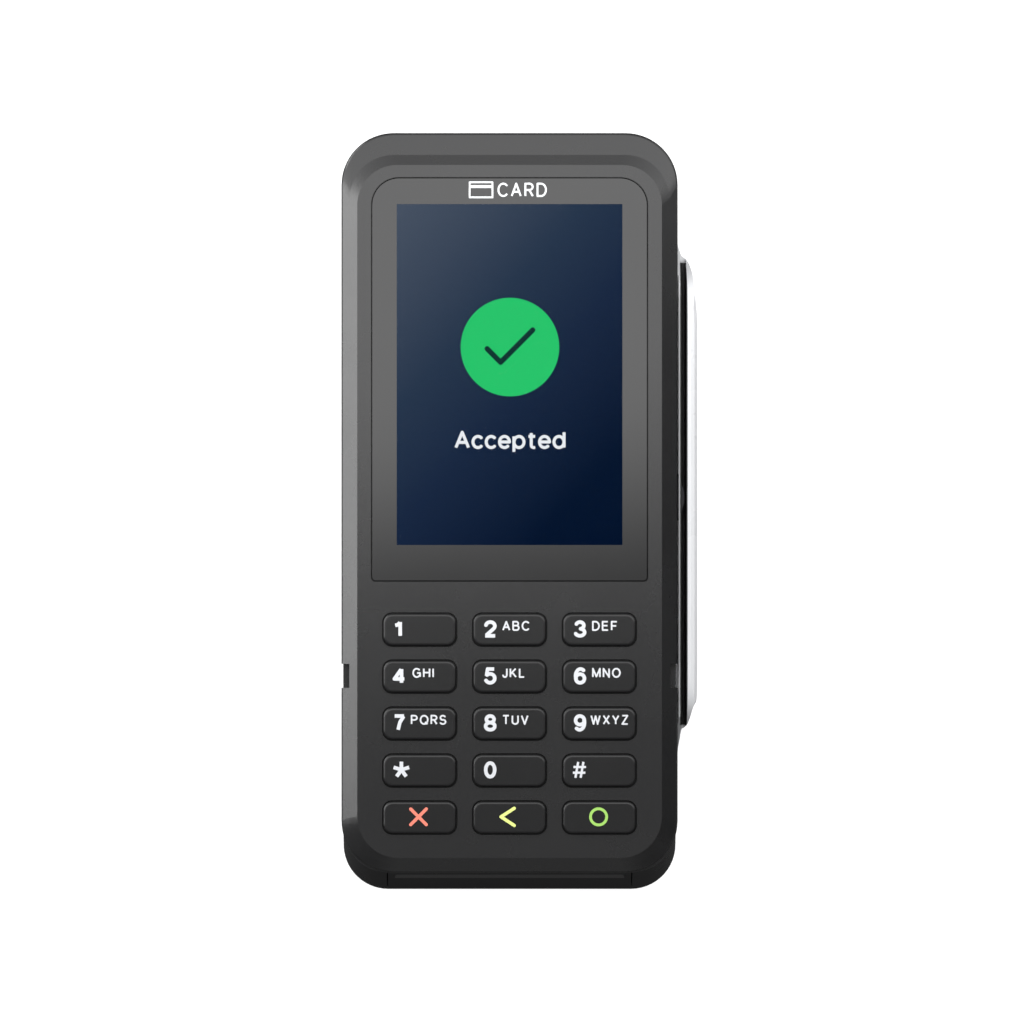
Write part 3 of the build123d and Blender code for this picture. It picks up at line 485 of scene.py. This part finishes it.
# Pen lines of a plain grotesque, in a box one capital high.
BOWL = [(0, 0), (0, 1)] + oval((0.32, 0.745), 0.27, 0.255, 90, -90) + [(0, 0.49)]
SMALL_BOWL = oval((0.29, 0.365), 0.285, 0.365)
GLYPHS = {
    "0": [oval((0.29, 0.5), 0.29, 0.5)],
    "1": [[(0.32, 0), (0.32, 1.0)], [(0, 0.76), (0.18, 0.8), (0.3, 0.98)]],
    "2": [oval((0.29, 0.715), 0.29, 0.285, 175, -38) + [(0.02, 0.03)], [(-0.04, 0), (0.6, 0)]],
    "3": [oval((0.28, 0.755), 0.25, 0.245, 165, -90), oval((0.28, 0.255), 0.3, 0.255, 90, -165)],
    "4": [[(0.46, 0), (0.46, 1)], [(0.44, 0.98), (0, 0.28), (0.64, 0.28)]],
    "5": [[(0.54, 1), (0.12, 1), (0.05, 0.5)], oval((0.28, 0.325), 0.3, 0.325, 142, -162)],
    "6": [oval((0.3, 0.315), 0.28, 0.315), oval((0.33, 0.5), 0.32, 0.5, 48, 212)],
    "7": [[(0, 1), (0.6, 1)], [(0.58, 0.98), (0.34, 0.55), (0.22, 0)]],
    "8": [oval((0.3, 0.76), 0.245, 0.24), oval((0.3, 0.26), 0.295, 0.26)],
    "9": [oval((0.29, 0.685), 0.28, 0.315), oval((0.26, 0.5), 0.32, 0.5, 228, 392)],
    "A": [[(0, 0), (0.36, 1), (0.72, 0)], [(0.13, 0.34), (0.59, 0.34)]],
    "B": [
        [(0, 0), (0, 1)] + oval((0.34, 0.765), 0.23, 0.235, 90, -90) + [(0, 0.53)],
        [(0.3, 0.53)] + oval((0.37, 0.265), 0.26, 0.265, 90, -90) + [(0, 0)],
    ],
    "C": [oval((0.39, 0.5), 0.39, 0.5, 38, 322)],
    "D": [[(0, 0), (0, 1)] + oval((0.28, 0.5), 0.4, 0.5, 90, -90) + [(0, 0)]],
    "E": [[(0.58, 1), (0, 1), (0, 0), (0.6, 0)], [(0, 0.53), (0.54, 0.53)]],
    "F": [[(0.57, 1), (0, 1), (0, 0)], [(0, 0.5), (0.5, 0.5)]],
    "G": [oval((0.39, 0.5), 0.39, 0.5, 38, 335), [(0.42, 0.48), (0.77, 0.48), (0.77, 0.02)]],
    "H": [[(0, 0), (0, 1)], [(0.64, 0), (0.64, 1)], [(0, 0.53), (0.64, 0.53)]],
    "I": [[(0, 0), (0, 1)]],
    "J": [[(0.42, 1)] + oval((0.21, 0.25), 0.21, 0.25, 0, -172)],
    "K": [[(0, 0), (0, 1)], [(0.58, 1), (0.02, 0.36)], [(0.2, 0.56), (0.62, 0)]],
    "L": [[(0, 1), (0, 0), (0.5, 0)]],
    "M": [[(0, 0), (0, 1), (0.39, 0.06), (0.78, 1), (0.78, 0)]],
    "N": [[(0, 0), (0, 1), (0.62, 0), (0.62, 1)]],
    "O": [oval((0.4, 0.5), 0.4, 0.5)],
    "P": [BOWL],
    "Q": [oval((0.4, 0.5), 0.4, 0.5), [(0.5, 0.24), (0.78, -0.02)]],
    "R": [BOWL, [(0.3, 0.49), (0.6, 0)]],
    "S": [oval((0.3, 0.745), 0.27, 0.255, 25, 265) + oval((0.3, 0.255), 0.3, 0.255, 85, -158)],
    "T": [[(0, 1), (0.64, 1)], [(0.32, 1), (0.32, 0)]],
    "U": [[(0, 1)] + oval((0.31, 0.3), 0.31, 0.3, 180, 360) + [(0.62, 1)]],
    "V": [[(0, 1), (0.34, 0), (0.68, 1)]],
    "W": [[(0, 1), (0.25, 0), (0.48, 0.94), (0.71, 0), (0.96, 1)]],
    "X": [[(0, 0), (0.62, 1)], [(0, 1), (0.62, 0)]],
    "Y": [[(0, 1), (0.33, 0.44), (0.66, 1)], [(0.33, 0.44), (0.33, 0)]],
    "Z": [[(0, 1), (0.58, 1), (0, 0), (0.6, 0)]],
    "c": [oval((0.29, 0.365), 0.285, 0.365, 40, 320)],
    "d": [SMALL_BOWL, [(0.58, 1), (0.58, 0)]],
    "e": [[(0.01, 0.37)] + oval((0.29, 0.365), 0.285, 0.365, 0, 322)],
    "p": [SMALL_BOWL, [(0, 0.73), (0, -0.28)]],
    "t": [
        [(0.14, 0.95)] + oval((0.29, 0.15), 0.15, 0.15, 180, 270) + [(0.36, 0)],
        [(-0.02, 0.73), (0.36, 0.73)],
    ],
}


def lettering(text, height, pen, gap, start=None, width=None, stretch=1.0):
    """Loops for a line of text, its capitals centred on y = 0.

    It begins at start or is centred, and fills width or is stretched sideways by stretch.
    """
    scale = height - pen
    lines, reach = [], 0.0
    for letter in text:
        strokes = GLYPHS[letter]
        left = min(x for line in strokes for x, y in line)
        right = max(x for line in strokes for x, y in line)
        lines += [[(reach + (x - left) * scale, (y - 0.5) * scale) for x, y in line] for line in strokes]
        reach += (right - left) * scale + gap
    reach -= gap
    if width:
        stretch = (width - pen) / reach
    shift = -reach * stretch / 2 if start is None else start + pen / 2
    return [loop for line in lines for loop in ribbon([(shift + x * stretch, y) for x, y in line], pen)]


# ---------------------------------------------------------------- key legends
WHITE_INK = printed("white_ink", srgb(200, 202, 206))
INK = 0.03
DIGITS = {
    "1": "",
    "2": "ABC",
    "3": "DEF",
    "4": "GHI",
    "5": "JKL",
    "6": "MNO",
    "7": "PQRS",
    "8": "TUV",
    "9": "WXYZ",
    "0": "",
}
DIGIT_HEIGHT, DIGIT_PEN, DIGIT_STRETCH = 4.25, 0.88, 1.13
DIGIT_U, OWN_DIGIT_U = -4.75, {"1": -5.4, "4": -5.0, "7": -5.0}
LETTERS_HEIGHT, LETTERS_PEN, LETTERS_GAP, LETTERS_STRETCH = 2.45, 0.4, 0.82, 1.08
LETTERS_U, LONG_LETTERS_U, LETTERS_UP = -1.8, -2.2, 0.75
KEY_U, KEY_V = {}, {}
for node in frame["nodes"]:
    if node.startswith("key_"):
        low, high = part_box(node)
        key_centre = (Vector(low) + Vector(high)) / 2 - FACE_ORIGIN
        KEY_U[node] = key_centre.dot(ACROSS) * 1000
        KEY_V[node] = key_centre.dot(UP_FACE) * 1000


def add_legend(name, node, loops, ink, u=0.0, v=0.0):
    """Prints a drawing on a key's top, u and v away from the key's centre."""
    place = face_matrix(KEY_U[node] + u, KEY_V[node] + v, KEY_TOP)
    add_piece(name, outline_mesh(name, loops, INK, place), ink, node)


for digit, letters in DIGITS.items():
    node = "key_" + digit
    loops = lettering(digit, DIGIT_HEIGHT, DIGIT_PEN, 0, stretch=DIGIT_STRETCH)
    add_legend("legend_" + digit, node, loops, WHITE_INK, OWN_DIGIT_U.get(digit, DIGIT_U))
    if letters:
        start = LONG_LETTERS_U if len(letters) == 4 else LETTERS_U
        loops = lettering(
            letters, LETTERS_HEIGHT, LETTERS_PEN, LETTERS_GAP, start=start, stretch=LETTERS_STRETCH
        )
        add_legend("letters_" + digit, node, loops, WHITE_INK, 0, LETTERS_UP)

STAR_TIPS = arc((0, 0), 2.0, 18, 306, 4)
STAR_ARMS = [loop for tip in STAR_TIPS for loop in ribbon([(0, 0), tip], 0.9)]
HASH_STROKES = (
    [(-0.98, -1.95), (-0.3, 1.95)],
    [(0.3, -1.95), (0.98, 1.95)],
    [(-1.45, 0.7), (1.6, 0.7)],
    [(-1.6, -0.7), (1.45, -0.7)],
)
HASH_LINES = [loop for stroke in HASH_STROKES for loop in ribbon(stroke, 0.56)]


def rounded_ribbon(points, width):
    """A pen line whose two ends are round."""
    return ribbon(points, width) + [nib(end, width) for end in (points[0], points[-1])]


CROSS_ARM, SYMBOL_PEN = 1.92, 0.8
CANCEL_CROSS = [
    loop
    for rise in (CROSS_ARM, -CROSS_ARM)
    for loop in rounded_ribbon([(-CROSS_ARM, -rise), (CROSS_ARM, rise)], SYMBOL_PEN)
]
CLEAR_ARROW = rounded_ribbon([(1.65, 2.1), (-1.6, 0), (1.65, -2.1)], SYMBOL_PEN)
ENTER_RING = ribbon(arc((0, 0), 1.98, 0, 360, 48), 0.68)
SYMBOLS = (
    ("star", STAR_ARMS, -4.5, WHITE_INK),
    ("hash", HASH_LINES, -4.9, WHITE_INK),
    ("cancel", CANCEL_CROSS, -0.3, printed("salmon_ink", srgb(226, 124, 104))),
    ("clear", CLEAR_ARROW, -0.5, printed("pale_yellow_ink", srgb(214, 226, 130))),
    ("enter", ENTER_RING, -0.2, printed("green_ink", srgb(150, 198, 92))),
)
for name, loops, shift, ink in SYMBOLS:
    add_legend("symbol_" + name, "key_" + name, loops, ink, shift)

# ---------------------------------------------------------------- picture on the display
PICTURE_H = 0.02 - SCREEN_DEPTH
PICTURE_THICKNESS = 0.03
DISC_U, DISC_V, DISC_RADIUS = 0.1, 128.9, 12.1
TICK = [(-5.6, -0.4), (-2.3, -3.75), (5.6, 4.2)]
TICK_PEN, TICK_LIFT = 1.3, 0.05
WORD_U, WORD_V, WORD_HEIGHT, WORD_PEN, WORD_GAP, WORD_WIDTH = 0.1, 106.1, 4.5, 0.74, 0.95, 27.3
GLOW = 1.0 / LENS_CLEARNESS
disc_green = lit("disc_green", srgb(34, 195, 105), GLOW)
tick_ink = lit("tick_ink", srgb(5, 48, 46), GLOW)
word_white = lit("word_white", srgb(232, 236, 240), GLOW)


def add_picture(name, loops, material, u, v, lift=0.0):
    """Shows a drawing on the display, lift over the picture's plane."""
    mesh = outline_mesh(name, loops, PICTURE_THICKNESS, face_matrix(u, v, PICTURE_H + lift))
    add_piece(name, mesh, material, "housing")


add_picture("picture_disc", [arc((0, 0), DISC_RADIUS, 0, 357, 119)], disc_green, DISC_U, DISC_V)
add_picture("picture_tick", rounded_ribbon(TICK, TICK_PEN), tick_ink, DISC_U, DISC_V, TICK_LIFT)
word_loops = lettering("Accepted", WORD_HEIGHT, WORD_PEN, WORD_GAP, width=WORD_WIDTH)
add_picture("picture_word", word_loops, word_white, WORD_U, WORD_V)

# A small plain card sign at the top of the lens
LENS_INK = printed("lens_ink", srgb(206, 208, 210))
LENS_INK_THICKNESS = 0.02
SIGN_V, CARD_U, CARD_WORD_U = 167.5, -7.0, 3.1
CARD_WIDTH, CARD_HEIGHT, CARD_LINE = 5.6, 3.7, 0.42
CARD_STRIPE = [(-2.8, 0.8), (2.8, 0.8)]
card_loops = frame_strokes(CARD_WIDTH, CARD_HEIGHT, CARD_LINE) + ribbon(CARD_STRIPE, 0.7)
for name, loops, u in (
    ("lens_card_sign", card_loops, CARD_U),
    ("lens_card_word", lettering("CARD", 3.5, 0.46, 1.15), CARD_WORD_U),
):
    mesh = outline_mesh(name, loops, LENS_INK_THICKNESS, face_matrix(u, SIGN_V, 0))
    add_piece(name, mesh, LENS_INK, "housing")

# ---------------------------------------------------------------- studio
scene = bpy.context.scene
scene.view_settings.view_transform = "Standard"
CAMERA_DISTANCE = 5.0
VIEW_WIDTH = 0.2514
camera_data = bpy.data.cameras.new("camera")
camera_data.sensor_width = 36.0
camera_data.lens = camera_data.sensor_width * CAMERA_DISTANCE / VIEW_WIDTH
camera_data.clip_end = 20.0
camera = bpy.data.objects.new("camera", camera_data)
looked_at = on_face(0.6, 88.4)
camera.matrix_world = (
    Matrix.Translation(looked_at + OUT_OF_FACE * CAMERA_DISTANCE)
    @ Matrix((ACROSS, UP_FACE, OUT_OF_FACE)).transposed().to_4x4()
)
scene.collection.objects.link(camera)
scene.camera = camera



def emit(tree, strength):
    """An Emission node with a strength that is a number or a socket."""
    node = tree.nodes.new("ShaderNodeEmission")
    if isinstance(strength, (int, float)):
        node.inputs["Strength"].default_value = strength
    else:
        tree.links.new(strength, node.inputs["Strength"])
    return node


def fade(tree, value, start, end, low, high, smooth=True):
    """A change from low to high while value goes from start to end; returns its output."""
    node = tree.nodes.new("ShaderNodeMapRange")
    if smooth:
        node.interpolation_type = "SMOOTHSTEP"
    for label, number in (("From Min", start), ("From Max", end), ("To Min", low), ("To Max", high)):
        node.inputs[label].default_value = number
    tree.links.new(value, node.inputs["Value"])
    return node.outputs["Result"]


def stage_sheet(name, corners, face, surface):
    """A flat piece of the studio. surface makes its last shader in the given node tree."""
    material = bpy.data.materials.new(name)
    material.use_nodes = True
    tree = material.node_tree
    tree.nodes.clear()
    output = tree.nodes.new("ShaderNodeOutputMaterial")
    tree.links.new(surface(tree).outputs[0], output.inputs["Surface"])
    mesh = bpy.data.meshes.new(name)
    mesh.from_pydata(corners, [], [face])
    mesh.materials.append(material)
    sheet = bpy.data.objects.new(name, mesh)
    scene.collection.objects.link(sheet)
    return sheet


FLOOR_REACH = 6.0
FLOOR_GLOW, FLOOR_GREY = 0.9, (0.35, 0.35, 0.35, 1.0)
SHADE_STARTS, SHADE_ENDS = 0.012, 0.06
SHADE_DIM, SHADE_OPEN = 0.07, 0.5


def floor_surface(tree):
    """White to the camera. The object sees it dim close by, as under its own shade."""
    grey = tree.nodes.new("ShaderNodeBsdfDiffuse")
    grey.inputs["Color"].default_value = FLOOR_GREY
    white = tree.nodes.new("ShaderNodeAddShader")
    tree.links.new(emit(tree, FLOOR_GLOW).outputs[0], white.inputs[0])
    tree.links.new(grey.outputs[0], white.inputs[1])
    where = tree.nodes.new("ShaderNodeSeparateXYZ")
    tree.links.new(tree.nodes.new("ShaderNodeTexCoord").outputs["Object"], where.inputs[0])
    away = [
        math_node(tree, "SUBTRACT", math_node(tree, "ABSOLUTE", where.outputs[axis]), high)
        for axis, high in zip((0, 1), cad_box[1])
    ]
    distance = math_node(tree, "MAXIMUM", *away)
    shade = fade(tree, distance, SHADE_STARTS, SHADE_ENDS, SHADE_DIM, SHADE_OPEN)
    mix = tree.nodes.new("ShaderNodeMixShader")
    tree.links.new(tree.nodes.new("ShaderNodeLightPath").outputs["Is Camera Ray"], mix.inputs[0])
    tree.links.new(emit(tree, shade).outputs[0], mix.inputs[1])
    tree.links.new(white.outputs[0], mix.inputs[2])
    return mix


floor_corners = [(x * FLOOR_REACH, y * FLOOR_REACH, 0) for x, y in ((-1, -1), (1, -1), (1, 1), (-1, 1))]
stage_sheet("floor", floor_corners, (0, 1, 2, 3), floor_surface)

# The room is lighter behind the object and on its left than in front and on its right.
ROOM_LIGHT_SIDE = (-0.6, 0.8, 0.0)
ROOM_DIM, ROOM_BRIGHT = 0.06, 0.45
world = bpy.data.worlds.new("studio")
scene.world = world
world.use_nodes = True
world_tree = world.node_tree
background = world_tree.nodes["Background"]
background.inputs["Color"].default_value = (1.0, 1.0, 1.0, 1.0)
facing = world_tree.nodes.new("ShaderNodeVectorMath")
facing.operation = "DOT_PRODUCT"
facing.inputs[1].default_value = ROOM_LIGHT_SIDE
world_tree.links.new(world_tree.nodes.new("ShaderNodeTexCoord").outputs["Generated"], facing.inputs[0])
room = fade(world_tree, facing.outputs["Value"], -0.7, 1.0, ROOM_DIM, ROOM_BRIGHT, smooth=False)
world_tree.links.new(room, background.inputs["Strength"])

# Overhead soft box parallel to the face. Its light fades from rear left to front right.
BOX_HEIGHT = 220.0
BOX_HALF_WIDTH, BOX_FRONT_V, BOX_REAR_V = 700, -500, 900
BOX_BRIGHT, BOX_DIM, BOX_REAR_SHARE = 3.3, 0.62, 0.5
BOX_MIDDLE_V, BOX_UNIT, BOX_SLANT = 84.0, 100.0, -0.12


def soft_box_surface(tree):
    """Bright over the rear half, dim over the front half and easing off far behind."""
    middle = on_face(0, BOX_MIDDLE_V, BOX_HEIGHT)
    place = place_group(tree, FACE_PLACE, Centre=middle, Half_width=mm(BOX_UNIT), Half_length=mm(BOX_UNIT))
    along = math_node(tree, "MULTIPLY_ADD", place.outputs["Across"], BOX_SLANT, place.outputs["Along"])
    front_to_rear = fade(tree, along, -0.25, 0.33, BOX_DIM, BOX_BRIGHT)
    far_rear = fade(tree, along, 1.0, 5.5, 1.0, BOX_REAR_SHARE)
    return emit(tree, math_node(tree, "MULTIPLY", front_to_rear, far_rear))


box_corners = [
    on_face(u, v, BOX_HEIGHT)
    for u, v in (
        (-BOX_HALF_WIDTH, BOX_FRONT_V),
        (BOX_HALF_WIDTH, BOX_FRONT_V),
        (BOX_HALF_WIDTH, BOX_REAR_V),
        (-BOX_HALF_WIDTH, BOX_REAR_V),
    )
]
soft_box = stage_sheet("soft_box", box_corners, (0, 3, 2, 1), soft_box_surface)
soft_box.visible_camera = False


def area_light(name, place, target, size, power):
    light = bpy.data.lights.new(name, "AREA")
    light.shape = "RECTANGLE"
    light.size, light.size_y = size
    light.energy = power
    holder = bpy.data.objects.new(name, light)
    holder.location = place
    holder.rotation_euler = (Vector(target) - Vector(place)).to_track_quat("-Z", "Y").to_euler()
    holder.visible_camera = False
    scene.collection.objects.link(holder)


SIDE_LIGHT_SIZE = (1.2, 0.34)
area_light("left_light", (-0.75, 0.5, 0.16), (0, 0.5, 0.03), SIDE_LIGHT_SIZE, 9.0)
area_light("right_light", (0.75, 0.7, 0.16), (0, 0.7, 0.03), SIDE_LIGHT_SIZE, 1.6)
